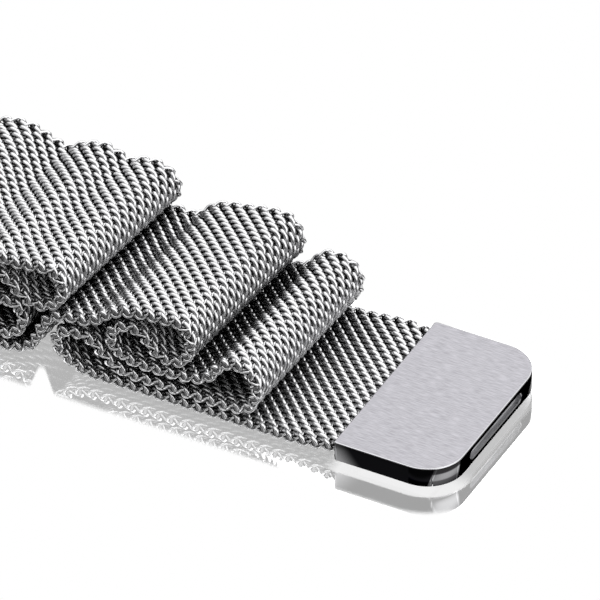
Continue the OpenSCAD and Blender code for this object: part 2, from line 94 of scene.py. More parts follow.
# Route of the long half's mesh from the tab's pivot to the lug end's pivot, run by run.
# A point is x from the first pivot and height z of the near edge,
# then how far the far edge is shifted along x and z.
RUNS = [
    [
        (-1.6, 0.92, 0, 0.5), (-3.6, 0.68, 0, 0.6), (-6.2, 0.62, 0, 0.35), (-11.2, 0.6, 0, 0.1),
        (-17.2, 0.6, 0, 0), (-23.2, 0.6, 0.2, 0), (-27.4, 0.7, 0.3, 0), (-29.4, 1.5, 0.4, 0),
        (-30.6, 2.75, 0.5, 0), (-30.7, 3.95, 0.5, 0),
    ],
    [
        (-29.8, 4.85, 0.5, 0), (-28.3, 5.05, 0.5, 0), (-26.8, 4.7, 0.4, 0), (-25.7, 3.7, 0.4, 0),
        (-24.5, 2.75, 0.3, 0), (-23, 2.15, 0.2, 0), (-19.2, 2.02, 0.2, 0), (-14.2, 2, 0.4, 0),
        (-10.8, 2.05, 0.7, 0), (-9.3, 2.5, 0.7, -0.1), (-8.45, 3.85, 0.7, -0.2),
        (-8.3, 5.8, 0.7, -0.35),
    ],
    [
        (-9.4, 7.15, 0.7, -0.35), (-11.1, 7.4, 0.7, -0.35), (-12.4, 6.55, 0.7, -0.3),
        (-13.5, 5.05, 0.7, -0.2), (-14.9, 4.25, 0.7, 0), (-16.7, 3.95, 0.7, 0),
        (-19.7, 3.75, 0.8, 0), (-21.8, 3.8, 0.9, 0), (-23.2, 4.15, 1, 0), (-24.4, 5.1, 1, 0),
        (-24.5, 6.6, 1, -0.1),
    ],
    [
        (-23.4, 7.75, 1, -0.2), (-21.7, 7.85, 1, -0.3), (-20.4, 6.85, 1, -0.2),
        (-19.4, 5.75, 1, -0.1), (-18, 5.35, 1.2, -0.1), (-16.6, 5.8, 1.4, -0.2),
        (-15.8, 7.1, 1.5, -0.4), (-15.75, 9.1, 1.5, -0.7),
    ],
    [
        (-16.8, 10.3, 1.5, -0.4), (-18.5, 10.3, 1.5, -0.3), (-21, 10.1, 1.4, -0.6),
        (-23.3, 9.6, 1.3, -0.6), (-24.8, 8.8, 1.2, -0.5), (-26.1, 7.7, 1.2, -0.8),
        (-27.5, 7, 1.4, -0.6), (-29, 6.85, 1.4, -0.4), (-30.7, 6.4, 1.4, -0.2),
        (-31.95, 5.35, 1.3, -0.1), (-32.65, 3.85, 1.2, 0), (-33.25, 2.4, 1.2, 0),
        (-34.3, 1.3, 1.2, 0), (-36, 0.75, 1.2, 0), (-39.2, 0.6, 1, 0), (-44.2, 0.6, 1, 0),
        (-47.2, 0.72, 1, 0), (-49, 1.6, 1, 0), (-50, 2.9, 1, 0), (-49.8, 4.2, 1, 0),
    ],
    [
        (-48.6, 4.9, 1, 0), (-47.1, 4.7, 1, 0), (-45.8, 3.7, 1, 0), (-44.6, 2.75, 1, 0),
        (-43, 2.15, 1, 0), (-40.2, 2.05, 1, 0), (-37.2, 2.1, 1.2, 0), (-35.6, 2.6, 1.5, 0),
        (-34.6, 3.95, 1.6, -0.1), (-34.8, 5.5, 1.7, -0.2),
    ],
    [
        (-36.1, 6.35, 1.7, -0.2), (-37.7, 5.95, 1.7, -0.2), (-39.2, 4.85, 1.7, -0.1),
        (-40.7, 4.15, 1.7, 0), (-42.4, 4.1, 1.7, 0), (-43.9, 4.9, 1.7, 0), (-44.3, 6.3, 1.7, 0),
    ],
    [
        (-43.4, 7.5, 1.7, -0.2), (-41.6, 8.2, 1.7, -0.4), (-39.4, 9.1, 1.8, -0.7),
        (-37.6, 9.45, 1.9, -0.9), (-36.15, 8.95, 1.9, -0.8), (-35.1, 7.95, 1.9, -0.6),
        (-33.8, 7.15, 1.8, -0.3), (-32.3, 7.1, 1.8, -0.2), (-30.9, 7.85, 1.9, -0.3),
        (-30.15, 9.1, 2, -0.3), (-30.25, 10.8, 2, -0.8),
    ],
    [
        (-31.3, 11.85, 2, -0.75), (-33, 11.8, 2, -0.4), (-35.4, 11.45, 2, -0.85),
        (-37.8, 11.6, 1.9, -0.15), (-40.2, 10.6, 1.9, 0.2), (-42.2, 10.3, 1.9, -0.6),
        (-44.4, 11, 1.9, -0.7), (-46.4, 11.5, 1.9, -0.5), (-48.5, 10.8, 1.5, 0),
        (-50.4, 8.9, 1.2, 0), (-51.8, 6.4, 1, 0), (-53, 3.6, 1, 0), (-54.5, 1.5, 0.8, 0),
        (-56.4, 0.78, 0.5, 0), (-58.4, 0.92, 0.2, 0), (-60.4, 1.34, 0, 0),
    ],
]

# Weave, in millimetres: each coil runs across the band and hooks into its neighbours.
# A coil's turns are ovals, straightened across the band and flattened on the mesh's faces.
COIL_PITCH = 1.4
COIL_TURNS = 14
ROW_STEP = 0.73
COIL_HALF_LENGTH = 0.61
COIL_HALF_HEIGHT = 0.33
STRAIGHTNESS = 0.55
WIRE_R = 0.25
FLATNESS = 0.8
EDGE_BULGE = 0.2
POINTS_PER_TURN = 12
EDGE_POINTS = 6
WIRE_SIDES = 8
ROD_R = 0.19
ROD_HALF_LENGTH = 10.2

# Each pair of coils ends at the mesh's edges in an oval of two rings:
# half length, half height and wire radius of a ring, and how far out it lies
EDGE_Y = 10.44
OVAL_RINGS = [(0.38, 0.53, 0.105, 0), (0.11, 0.28, 0.08, 0.08)]
OVAL_LEAN = 0.25
OVAL_POINTS = 12

# A strand sweeps over each oval from either face, and a hook links it to the next oval:
# length from the oval's middle, place across, height over the mesh's middle
SWEEP = [(0.62, 9.9, 0.4), (0.2, 10.4, 0.53), (-0.22, 10.62, 0.38), (-0.4, 10.64, 0.0)]
SWEEP_R = 0.14
HOOK = [(-0.28, 10.5, -0.36), (-0.55, 10.68, -0.3), (-0.92, 10.68, 0.1), (-1.15, 10.5, 0.36)]
HOOK_R = 0.1
EDGE_STEPS = 2

# Polish and painted shade of the wires, from 0 between the coils to 1: it lowers their roughness
# and paints their colour dark as shade between the coils and bright on the mesh's faces. It grows
# with the height over the mesh's middle, up to these heights, and the wires at the edges keep at
# least their own.
COIL_SHINE = 0.86
COIL_BRIGHT_HEIGHT = 0.2
ROD_BRIGHT_HEIGHT = 0.17
EDGE_BRIGHT_HEIGHT = 0.33
RING_POLISH_AND_SHADE = 0.56
STRAND_POLISH_AND_SHADE = 1.0

# Springs in the quick-release bars
SPRING_WIRE_R = 0.11
SPRING_TURNS = 13
SPRING_POINTS_PER_TURN = 16

FLOOR_HALF = 3000.0
FLOOR_Z = -0.7


def set_camera():
    """The photograph's viewing angle, from far off with a long lens."""
    azimuth, elevation = math.radians(27.62), math.radians(37.96)
    distance = 2.6693
    target = Vector((-21.17, 10.38, 0)) * MM
    towards = Vector((
        math.sin(azimuth) * math.cos(elevation),
        -math.cos(azimuth) * math.cos(elevation),
        math.sin(elevation),
    ))
    lens = bpy.data.cameras.new("long_lens")
    lens.lens = 1600
    lens.sensor_width = 36
    lens.clip_start = 0.01
    lens.clip_end = 10
    camera = bpy.data.objects.new("camera", lens)
    camera.location = target + towards * distance
    camera.rotation_euler = (-towards).to_track_quat("-Z", "Y").to_euler()
    bpy.context.collection.objects.link(camera)
    bpy.context.scene.camera = camera


# Materials
class Flow:
    """A socket's output in a material. Arithmetic on it adds the nodes."""

    def __init__(self, finish, socket):
        self.finish = finish
        self.socket = socket

    def maths(self, operation, *values):
        return self.finish.node("ShaderNodeMath", {"operation": operation}, dict(enumerate(values)))

    def __add__(self, other):
        return self.maths("ADD", self, other)

    def __sub__(self, other):
        return self.maths("SUBTRACT", self, other)

    def __rsub__(self, other):
        return self.maths("SUBTRACT", other, self)

    def __mul__(self, other):
        return self.maths("MULTIPLY", self, other)

    def __pow__(self, other):
        return self.maths("POWER", self, other)

    __radd__ = __add__
    __rmul__ = __mul__

    def size(self):
        return self.maths("ABSOLUTE", self)

    def least(self, other):
        return self.maths("MINIMUM", self, other)

    def most(self, other):
        return self.maths("MAXIMUM", self, other)

    def ramp(self, low, high):
        """0 below low, 1 above high and smooth between; low may be the larger one."""
        settings = {"interpolation_type": "SMOOTHSTEP"}
        if low < high:
            inputs = {"Value": self, "From Min": low, "From Max": high}
            return self.finish.node("ShaderNodeMapRange", settings, inputs)
        return 1 - self.ramp(high, low)


class Finish:
    """A node tree, of a material or of the world, with its nodes made here."""

    def __init__(self, owner):
        self.owner = owner
        owner.use_nodes = True
        self.tree = owner.node_tree
        self.tree.nodes.clear()

    def node(self, kind, settings=None, inputs=None, output=0):
        """Adds a node with these settings and these values or links of its sockets."""
        made = self.tree.nodes.new(kind)
        for name, value in (settings or {}).items():
            setattr(made, name, value)
        for name, value in (inputs or {}).items():
            socket = made.inputs[name]
            if isinstance(value, Flow):
                self.tree.links.new(value.socket, socket)
            else:
                socket.default_value = value
        return Flow(self, made.outputs[output]) if len(made.outputs) else None

    def place(self):
        """Object coordinates in metres, as a vector."""
        return self.node("ShaderNodeTexCoord", output=3)

    def part(self, where, index):
        """The x, y or z of a vector, as 0, 1 or 2."""
        return self.node("ShaderNodeSeparateXYZ", {}, {"Vector": where}, output=index)

    def noise(self, where, scale, detail=2.0, stretch=(1, 1, 1)):
        """Noise from 0 to 1 in cells of about 1/scale metres, stretched along the axes."""
        moved = self.node(
            "ShaderNodeMapping", {}, {"Vector": where, "Scale": tuple(1 / s for s in stretch)}
        )
        return self.node(
            "ShaderNodeTexNoise", {}, {"Vector": moved, "Scale": scale, "Detail": detail}
        )

    def mix(self, amount, low, high):
        """Colour between low and high by amount."""
        inputs = {0: amount, 6: (*low, 1), 7: (*high, 1)}
        return self.node("ShaderNodeMix", {"data_type": "RGBA"}, inputs, output=2)

    def bump(self, height, strength, distance):
        return self.node(
            "ShaderNodeBump", {}, {"Height": height, "Strength": strength, "Distance": distance}
        )

    def close(self, **sockets):
        """Ends the material in a metal shader with these sockets."""
        named = {name.replace("_", " "): value for name, value in sockets.items()}
        shader = self.node("ShaderNodeBsdfPrincipled", {}, named)
        self.node("ShaderNodeOutputMaterial", {}, {"Surface": shader})
        return self.owner


def new_finish(name):
    return Finish(bpy.data.materials.new(name))


def drawn_wire():
    """Bright drawn steel wire, polished on the mesh's faces, with painted shade darkening its colour
    between its coils.
    """
    finish = new_finish("drawn_wire")
    where = finish.place()
    # Polish and painted shade: the colour is painted dark between the coils, where shade falls
    polish_and_painted_shade = finish.node("ShaderNodeAttribute", {"attribute_name": "polish_and_painted_shade"}, output=2)
    patch = finish.noise(where, 900)
    scratch = finish.noise(where, 9000, 3, (1, 6, 1))
    # Painted shade: occlusion darkens the wires' colour where others close them in, as inside the folds
    open_sky = finish.node(
        "ShaderNodeAmbientOcclusion", {"samples": 4}, {"Distance": 0.005}, output=1
    )
    shine = polish_and_painted_shade * (patch * 0.25 + 0.85) * (open_sky.ramp(0.05, 0.4) * 0.7 + 0.3)
    return finish.close(
        Base_Color=finish.mix(shine.least(1), (0.008, 0.008, 0.0085), (0.92, 0.92, 0.93)),
        Metallic=1.0,
        Specular_Tint=(0.3, 0.3, 0.3, 1),
        Roughness=0.4 - polish_and_painted_shade * 0.28 + scratch * 0.06,
        Normal=finish.bump(scratch, 0.08, 0.00001),
    )


def brushed_steel(name, low, high, rough, along=0):
    """Hairline brushed steel: short fine lines along one axis, over a faint broad cloud."""
    finish = new_finish(name)
    where = finish.place()
    long_way = [1, 1, 1]
    long_way[along] = 15
    hair = finish.noise(where, 13000, 2, tuple(long_way))
    long_way[along] = 10
    streak = finish.noise(where, 3500, 3, tuple(long_way))
    cloud = finish.noise(where, 160, 2)
    tone = hair * 0.9 + streak * 0.06 + cloud * 0.04
    return finish.close(
        Base_Color=finish.mix(tone.ramp(0.3, 0.7), low, high),
        Metallic=1.0,
        Roughness=streak * 0.04 + (rough - 0.02),
        Normal=finish.bump(hair, 0.12, 0.00001),
    )


def satin_strip():
    """Satin strip at the bottom of the tab's slot."""
    finish = new_finish("satin_strip")
    where = finish.place()
    line = finish.noise(where, 4000, 3, (1, 20, 1))
    return finish.close(
        Base_Color=finish.mix(line.ramp(0.35, 0.65), (0.3, 0.3, 0.31), (0.75, 0.75, 0.77)),
        Metallic=0.3,
        Roughness=line * 0.1 + 0.35,
        Normal=finish.bump(line, 0.2, 0.00002),
    )


def mirror_side_painted_reflection():
    """Mirror-polished tab sides, their colour a painted reflection: near black, lighter by the mouth
    and on the near corner.
    """
    finish = new_finish("mirror_side_painted_reflection")
    where = finish.place()
    x, y, z = (finish.part(where, i) for i in range(3))
    # Painted reflection, lighter towards the mouth's end and the bottom
    by_mouth = (x + z * 0.8).ramp(-0.0028, -0.0066)
    # Painted reflection of a light on the near corner: a panel between two slanted lines, and thin
    # light rims along them
    corner_x, corner_y = (TAB_LEN / 2 - TIP_R) * MM, (TIP_R - BAND_W / 2) * MM
    turn = y.maths("ARCTAN2", y - corner_y, x - corner_x)
    from_start, from_end = turn - z * 87 + 1.07, turn - z * 46 + 0.3
    panel = from_start.ramp(0, 0.02) * from_end.ramp(0, -0.02)
    rim = (from_start.size().ramp(0.05, 0.02) + from_end.size().ramp(0.05, 0.02)).least(1)
    smear = finish.noise(where, 300, 2)
    light = (by_mouth * 0.5 + panel * (smear * 0.06 + 0.12) + rim * 0.16).least(1)
    return finish.close(
        Base_Color=finish.mix(light, (0.008, 0.008, 0.009), (1.0, 1.0, 1.02)),
        Metallic=1.0,
        Specular_Tint=(0.15, 0.15, 0.15, 1),
        Roughness=smear * 0.06 + 0.06,
        Normal=finish.bump(finish.noise(where, 2500, 2), 0.05, 0.00001),
    )


def polished(name, colour, rough):
    """Polished steel with faint fine scratches."""
    finish = new_finish(name)
    where = finish.place()
    scratch = finish.noise(where, 7000, 4, (1, 3, 8))
    haze = finish.noise(where, 400, 2)
    low = tuple(c * 0.9 for c in colour)
    return finish.close(
        Base_Color=finish.mix(haze, low, colour),
        Metallic=1.0,
        Roughness=scratch * 0.06 + haze * 0.05 + rough,
        Normal=finish.bump(scratch, 0.08, 0.00001),
    )


def plated_magnet():
    """Dull plating over a magnet, pitted at a fine scale."""
    finish = new_finish("plated_magnet")
    where = finish.place()
    pits = finish.noise(where, 5000, 4)
    return finish.close(
        Base_Color=finish.mix(pits, (0.2, 0.2, 0.22), (0.34, 0.34, 0.36)),
        Metallic=0.9,
        Roughness=pits * 0.15 + 0.4,
        Normal=finish.bump(pits, 0.3, 0.00002),
    )


# The woven mesh
def curve_through(points, knots, steps):
    """Smooth curve through points, with this many steps between each two."""
    points = np.vstack([2 * points[0] - points[1], points, 2 * points[-1] - points[-2]])
    knots = np.concatenate([[knots[0] - knots[1]], knots, [2 * knots[-1] - knots[-2]]])
    out = []
    for i in range(1, len(points) - 2):
        p, k = points[i - 1 : i + 3], knots[i - 1 : i + 3]
        last = i == len(points) - 3
        for t in np.linspace(k[1], k[2], steps + 1)[: None if last else -1]:
            a = [
                (p[j] * (k[j + 1] - t) + p[j + 1] * (t - k[j])) / (k[j + 1] - k[j])
                for j in range(3)
            ]
            b = [
                (a[j] * (k[j + 2] - t) + a[j + 1] * (t - k[j])) / (k[j + 2] - k[j])
                for j in range(2)
            ]
            out.append((b[0] * (k[2] - t) + b[1] * (t - k[1])) / (k[2] - k[1]))
    return np.array(out)


class Route:
    """The band's course in the XZ plane: one line for the near edge and one for the far edge."""

    fine = 24

    def __init__(self, near, far):
        near, far = np.array(near, float), np.array(far, float)
        middle = (near + far) / 2
        knots = np.concatenate([[0], np.cumsum(np.linalg.norm(np.diff(middle, axis=0), axis=1) ** 0.5)])
        self.near = curve_through(near, knots, self.fine)
        self.far = curve_through(far, knots, self.fine)
        middle = (self.near + self.far) / 2
        steps = np.linalg.norm(np.diff(middle, axis=0), axis=1)
        self.length = np.concatenate([[0], np.cumsum(steps)])
        self.near_way = np.gradient(self.near, self.length, axis=0)
        self.far_way = np.gradient(self.far, self.length, axis=0)

    def at_point(self, index):
        """Length along the route of a point that it was given."""
        return self.length[index * self.fine]

    def read(self, table, s):
        """The x and z that a line, or its direction, has at length s."""
        return np.stack([np.interp(s, self.length, table[:, i]) for i in range(2)], axis=-1)

    def middle(self, s):
        """Point of the mid-line, in metres."""
        x, z = (self.read(self.near, s) + self.read(self.far, s)) / 2
        return Vector((x, 0, z)) * MM

    def put(self, s, y, v):
        """Places in metres from length s, place y across and height v over the mesh's middle."""
        t = ((y + MESH_W / 2) / MESH_W)[..., None]
        centre = (1 - t) * self.read(self.near, s) + t * self.read(self.far, s)
        way = (1 - t) * self.read(self.near_way, s) + t * self.read(self.far_way, s)
        way /= np.linalg.norm(way, axis=-1, keepdims=True)
        x = centre[..., 0] + v * way[..., 1]
        z = centre[..., 1] - v * way[..., 0]
        return np.stack([x, np.broadcast_to(y, x.shape), z], axis=-1) * MM


def wire_pair():
    """One closed wire: a coil across the band, an edge loop, the next coil back, an edge loop.

    Gives length, place across and height, from the first coil's middle, and how near each
    point is to a bend where the coil hooks into its neighbour.
    """
    across = COIL_PITCH * (COIL_TURNS + 0.5)
    half_turns = 2 * COIL_TURNS + 1

    def coil(direction):
        count = half_turns * POINTS_PER_TURN // 2
        turned = np.linspace(0, half_turns * math.pi, count + 1)
        angle = -math.pi / 2 + direction * turned
        share = (turned - STRAIGHTNESS / 2 * np.sin(2 * turned)) / (half_turns * math.pi)
        sine = np.sin(angle)
        return (
            COIL_HALF_LENGTH * np.cos(angle),
            share,
            COIL_HALF_HEIGHT * np.sign(sine) * np.abs(sine) ** FLATNESS,
        )

    u1, share1, v1 = coil(-1)
    u2, share2, v2 = coil(1)
    share = np.linspace(0, 1, EDGE_POINTS + 2)[1:-1]
    edge_u = ROW_STEP * share
    edge_y = EDGE_BULGE * np.sin(math.pi * share)
    edge_v = COIL_HALF_HEIGHT * np.cos(math.pi * share)
    u = [u1, edge_u, ROW_STEP + u2, ROW_STEP - edge_u]
    y = [
        (share1 - 0.5) * across,
        across / 2 + edge_y,
        (0.5 - share2) * across,
        -across / 2 - edge_y,
    ]
    v = [v1, edge_v, v2, edge_v]
    at_edge = np.zeros(EDGE_POINTS)
    bend = [np.abs(u1) / COIL_HALF_LENGTH, at_edge, np.abs(u2) / COIL_HALF_LENGTH, at_edge]
    return [np.concatenate(values) for values in (u, y, v, bend)]


def tube_faces(rings, copies, closed):
    """Quads of some like tubes, each of this many rings of points."""
    i = np.arange(rings if closed else rings - 1)[:, None]
    j = np.arange(WIRE_SIDES)[None, :]
    ahead, beside = (i + 1) % rings, (j + 1) % WIRE_SIDES
    corners = [(i, j), (i, beside), (ahead, beside), (ahead, j)]
    quads = np.stack([a * WIRE_SIDES + b for a, b in corners], axis=-1).reshape(-1, 4)
    offsets = np.arange(copies) * rings * WIRE_SIDES
    return (quads[None] + offsets[:, None, None]).reshape(-1, 4)


def tubes(route, starts, path, radius, closed=True):
    """Like tubes, one per start, along a path of length, place across and height.

    Gives the points, their heights over the mesh's middle, how near they are to the
    tube's crown, and the faces.
    """
    u, y, v = (np.asarray(values, float) for values in path)
    s = np.asarray(starts)[:, None] + u[None, :]
    y, v = np.broadcast_to(y, s.shape), np.broadcast_to(v, s.shape)
    line = route.put(s, y, v)
    outward = (route.put(s, y, v + 1) - line) / MM
    if closed:
        way = np.roll(line, -1, axis=1) - np.roll(line, 1, axis=1)
    else:
        way = np.gradient(line, axis=1)
    way /= np.linalg.norm(way, axis=-1, keepdims=True)
    count = line.shape[1]
    normal = np.empty_like(line)
    across = np.abs(way[0, 0, 1]) > 0.9
    side = np.cross(way[:, 0], (1.0, 0.0, 0.0) if across else (0.0, 1.0, 0.0))
    for i in range(count + 1):
        ahead = way[:, i % count]
        side = side - np.sum(side * ahead, axis=-1, keepdims=True) * ahead
        side /= np.linalg.norm(side, axis=-1, keepdims=True)
        if i < count:
            normal[:, i] = side
    binormal = np.cross(way, normal)
    corner = math.tau / WIRE_SIDES
    angle = np.arange(WIRE_SIDES)[None, None, :] * corner
    if closed:
        # The last turn of the frame is spread over the wire, so that it closes on itself
        twist = np.arctan2(
            np.sum(side * binormal[:, 0], axis=-1), np.sum(side * normal[:, 0], axis=-1)
        )
        twist = (twist + corner / 2) % corner - corner / 2
        angle = angle - twist[:, None, None] * (np.arange(count) / count)[None, :, None]
    side_way = (
        np.cos(angle)[..., None] * normal[:, :, None, :]
        + np.sin(angle)[..., None] * binormal[:, :, None, :]
    )
    lift = np.sum(side_way * outward[:, :, None, :], axis=-1)
    reach = np.broadcast_to(radius, (count,))[None, :, None]
    ring = line[:, :, None, :] + side_way * reach[..., None] * MM
    height = v[..., None] + lift * reach
    faces = tube_faces(count, len(s), closed)
    return ring.reshape(-1, 3), height.ravel(), np.abs(lift).ravel(), faces


def oval_ring(side, half_length, half_height, out):
    """Path of a ring of an oval, leaning along the band."""
    angle = np.arange(OVAL_POINTS) * math.tau / OVAL_POINTS
    v = half_height * np.sin(angle)
    u = half_length * np.cos(angle) + OVAL_LEAN * v
    return u, np.full(OVAL_POINTS, side * (EDGE_Y + out)), v


def edge_wire(points, side, face):
    """Path of a wire at one side of the mesh; face is -1 to turn it over."""
    points = np.array(points)
    u, y, v = curve_through(points, np.arange(len(points)), EDGE_STEPS).T
    return face * u, side * y, face * v


def step_up(values, low, high):
    """0 below low, 1 above high and smooth between."""
    share = np.clip((values - low) / (high - low), 0, 1)
    return share * share * (3 - 2 * share)


def cross_rod():
    """Path of a rod across the band, with a short taper at either end."""
    end, taper = ROD_HALF_LENGTH, 0.1
    return np.zeros(4), np.array([-end, taper - end, end - taper, end]), np.zeros(4)


def weave(name, route, starts):
    """One object of the wires that start at these lengths, with their rods and edges."""
    starts = np.asarray(starts)
    pairs = starts + 0.5 * ROW_STEP
    *coil_path, bend = wire_pair()
    rods = np.concatenate([starts, starts + ROW_STEP])
    capped = np.array([0.02, ROD_R, ROD_R, 0.02])
    parts = [
        (
            tubes(route, starts, coil_path, WIRE_R),
            COIL_BRIGHT_HEIGHT,
            step_up(bend, 0.6, 0.95) * COIL_SHINE,
        ),
        (tubes(route, rods, cross_rod(), capped, closed=False), ROD_BRIGHT_HEIGHT, 0.0),
    ]
    for side in (-1, 1):
        for half_length, half_height, r, out in OVAL_RINGS:
            ring = oval_ring(side, half_length, half_height, out)
            parts.append((tubes(route, pairs, ring, r), EDGE_BRIGHT_HEIGHT, RING_POLISH_AND_SHADE))
        for points, face, r in ((SWEEP, 1, SWEEP_R), (SWEEP, -1, SWEEP_R), (HOOK, 1, HOOK_R)):
            strand = tubes(route, pairs, edge_wire(points, side, face), r, closed=False)
            parts.append((strand, EDGE_BRIGHT_HEIGHT, STRAND_POLISH_AND_SHADE))
    vertices, faces, polish_and_painted_shade = [], [], []
    for (points, height, crown, quads), full, least in parts:
        faces.append(quads + sum(len(v) for v in vertices))
        vertices.append(points)
        # Painted shade: bright on the mesh's faces, and there more on a wire's crown than on its
        # flanks; dark between the coils
        shine = step_up(np.abs(height), 0, full) * (step_up(crown, 0.1, 0.65) * 0.6 + 0.4)
        shine = shine * COIL_SHINE
        if np.ndim(least):
            # One value for each point of the path becomes one for each vertex
            least = np.tile(np.repeat(least, WIRE_SIDES), len(starts))
        polish_and_painted_shade.append(np.maximum(shine, least))
    made = mesh_object(name, np.concatenate(vertices), np.concatenate(faces))
    layer = made.data.attributes.new("polish_and_painted_shade", "FLOAT", "POINT")
    layer.data.foreach_set("value", np.concatenate(polish_and_painted_shade).astype(np.float32))
    return made


def mesh_object(name, vertices, faces):
    """Smooth object of vertices in metres and quads."""
    mesh = bpy.data.meshes.new(name)
    mesh.vertices.add(len(vertices))
    mesh.vertices.foreach_set("co", np.asarray(vertices, np.float32).ravel())
    mesh.loops.add(faces.size)
    mesh.loops.foreach_set("vertex_index", faces.astype(np.int32).ravel())
    mesh.polygons.add(len(faces))
    mesh.polygons.foreach_set("loop_start", np.arange(0, faces.size, faces.shape[1], dtype=np.int32))
    mesh.polygons.foreach_set("use_smooth", np.ones(len(faces), bool))
    mesh.update(calc_edges=True)
    mesh.validate()
    made = bpy.data.objects.new(name, mesh)
    bpy.context.collection.objects.link(made)
    return made


def long_route():
    """The long half's route, and the lengths at which its ten pivots lie."""
    near = [*MOUTH_POINTS, FIRST_PIVOT]
    far = list(near)
    pivots = [len(near) - 1]
    for run in RUNS:
        for x, z, fan_x, fan_z in run:
            near.append((FIRST_PIVOT[0] + x, z))
            far.append((FIRST_PIVOT[0] + x + fan_x, z + fan_z))
        pivots.append(len(near) - 1)
    # The last run ends at the lug end's pivot
    pivots[-1] = len(near)
    near += [LAST_PIVOT, *JAW_POINTS]
    far += [LAST_PIVOT, *JAW_POINTS]
    route = Route(near, far)
    return route, [route.at_point(i) for i in pivots]


def share_out(route, first, last):
    """Starts of the wires between two lengths of a route, evenly spaced."""
    count = round((last - first - ROW_STEP) / (2 * ROW_STEP)) + 1
    return np.linspace(first, last - ROW_STEP, count)


def weave_long_half(wire):
    route, pivots = long_route()
    first = COIL_HALF_LENGTH + WIRE_R
    starts = share_out(route, first, route.length[-1] - first)
    middles = starts + ROW_STEP / 2
    pieces = []
    taken = np.zeros(len(starts), bool)

    def take(low, high):
        chosen = (middles >= low) & (middles < high) & ~taken
        taken[chosen] = True
        return starts[chosen]

    low, high = pivots[0] - HELD_REACH, pivots[0] + END_REACH
    piece = weave("mesh_at_tab", route, take(-1, high))
    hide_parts("tab_mesh_end", "tab_pivot_coil")
    route.middle(low)
    route.middle(high)
    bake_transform(piece)
    pieces.append(piece)
    for i in range(1, 9):
        low, high = pivots[i] - FOLD_REACH, pivots[i] + FOLD_REACH
        piece = weave(f"mesh_fold_{i}", route, take(low, high))
        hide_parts(f"fold_coil_{i}")
        route.middle(low)
        route.middle(high)
        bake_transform(piece)
        pieces.append(piece)
    low, high = pivots[9] - END_REACH, pivots[9] + HELD_REACH
    piece = weave("mesh_at_long_lug", route, take(low, route.length[-1] + 1))
    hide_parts("long_mesh_end", "long_pivot_coil")
    route.middle(low)
    route.middle(high)
    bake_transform(piece)
    pieces.append(piece)
    for i in range(1, 10):
        piece = weave(f"mesh_strip_{i}a", route, take(pivots[i - 1], pivots[i]))
        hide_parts(f"mesh_run_{i}")
        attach(piece, f"run_{i}")
        pieces.append(piece)
    for piece in pieces:
        piece.data.materials.append(wire)


def weave_short_half(wire):
    route = Route(SHORT_ROUTE, SHORT_ROUTE)
    pivot = route.at_point(SHORT_ROUTE.index(SHORT_PIVOT))
    first = COIL_HALF_LENGTH + WIRE_R
    starts = share_out(route, first, route.length[-1] - first)
    middles = starts + ROW_STEP / 2
    low, high = pivot - HELD_REACH, pivot + END_REACH
    piece = weave("mesh_at_short_lug", route, starts[middles < high])
    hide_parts("short_mesh_end", "short_pivot_coil")
    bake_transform(piece)
    strip = weave("mesh_short_strip", route, starts[middles >= high])
    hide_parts("short_mesh_run")
    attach(strip, "short_mesh")
    for made in (piece, strip):
        made.data.materials.append(wire)


# Tab
def tab_outline(inset):
    """Outline of the tab in millimetres, anticlockwise, drawn in by inset."""
    half, tip = BAND_W / 2 - inset, TAB_LEN / 2 - inset
    small, big = max(MOUTH_CORNER_R - inset, 0.05), TIP_R - inset
    corners = [
        (-tip + small, -half + small, small, 180),
        (tip - big, -half + big, big, 270),
        (tip - big, half - big, big, 0),
        (-tip + small, half - small, small, 90),
    ]
    points = []
    for x, y, r, start in corners:
        steps = 28 if r > 1 else 6
        for i in range(steps + 1):
            angle = math.radians(start + 90 * i / steps)
            points.append((x + r * math.cos(angle), y + r * math.sin(angle)))
    return points


def stacked(name, layers):
    """Closed solid through outlines at heights: a list of (points, z), in millimetres."""
    vertices, faces = [], []
    count = len(layers[0][0])
    for points, z in layers:
        vertices += [(x, y, z) for x, y in points]
    for k in range(len(layers) - 1):
        for i in range(count):
            j = (i + 1) % count
            faces.append((k * count + i, k * count + j, (k + 1) * count + j, (k + 1) * count + i))
    faces.append(tuple(reversed(range(count))))
    faces.append(tuple((len(layers) - 1) * count + i for i in range(count)))
    mesh = bpy.data.meshes.new(name)
    mesh.from_pydata([Vector(v) * MM for v in vertices], [], faces)
    mesh.update()
    made = bpy.data.objects.new(name, mesh)
    bpy.context.collection.objects.link(made)
    return made


def block(name, low, high):
    """Cutter between two corners."""
    x0, y0, z0 = low
    x1, y1, z1 = high
    square = [(x0, y0), (x1, y0), (x1, y1), (x0, y1)]
    return stacked(name, [(square, z0), (square, z1)])


def slot_cutter():
    """Round-ended slot in the tab's tip, with a small chamfer round its rim."""
    depth, half_height, half_length, chamfer = 0.9, 0.525, 5.5, 0.09
    steps = 16
    tip = TAB_LEN / 2
    layers = []
    for x, grow in ((tip - depth, 0), (tip - 0.08, 0), (tip + 0.01, chamfer), (tip + 0.3, chamfer)):
        r = half_height + grow
        run = half_length - half_height
        points = []
        for side in (1, -1):
            for i in range(steps + 1):
                angle = math.radians(180 * i / steps - 90 * side)
                points.append((side * run + r * math.cos(angle), r * math.sin(angle)))
        layers.append((points, x))
    made = stacked("slot_cutter", layers)
    # It was stacked upright and is laid down along the band
    for vertex in made.data.vertices:
        across, up, along = vertex.co
        vertex.co = (along, across, up + TAB_T / 2 * MM)
    return made


def carve(target, cutters):
    """Cuts the cutters out of the target and removes them."""
    for cutter in cutters:
        tool = target.modifiers.new("cut", "BOOLEAN")
        tool.operation = "DIFFERENCE"
        tool.solver = "EXACT"
        tool.object = cutter
    depsgraph = bpy.context.evaluated_depsgraph_get()
    carved = bpy.data.meshes.new_from_object(target.evaluated_get(depsgraph))
    target.modifiers.clear()
    target.data = carved
    for cutter in cutters:
        bpy.data.objects.remove(cutter)


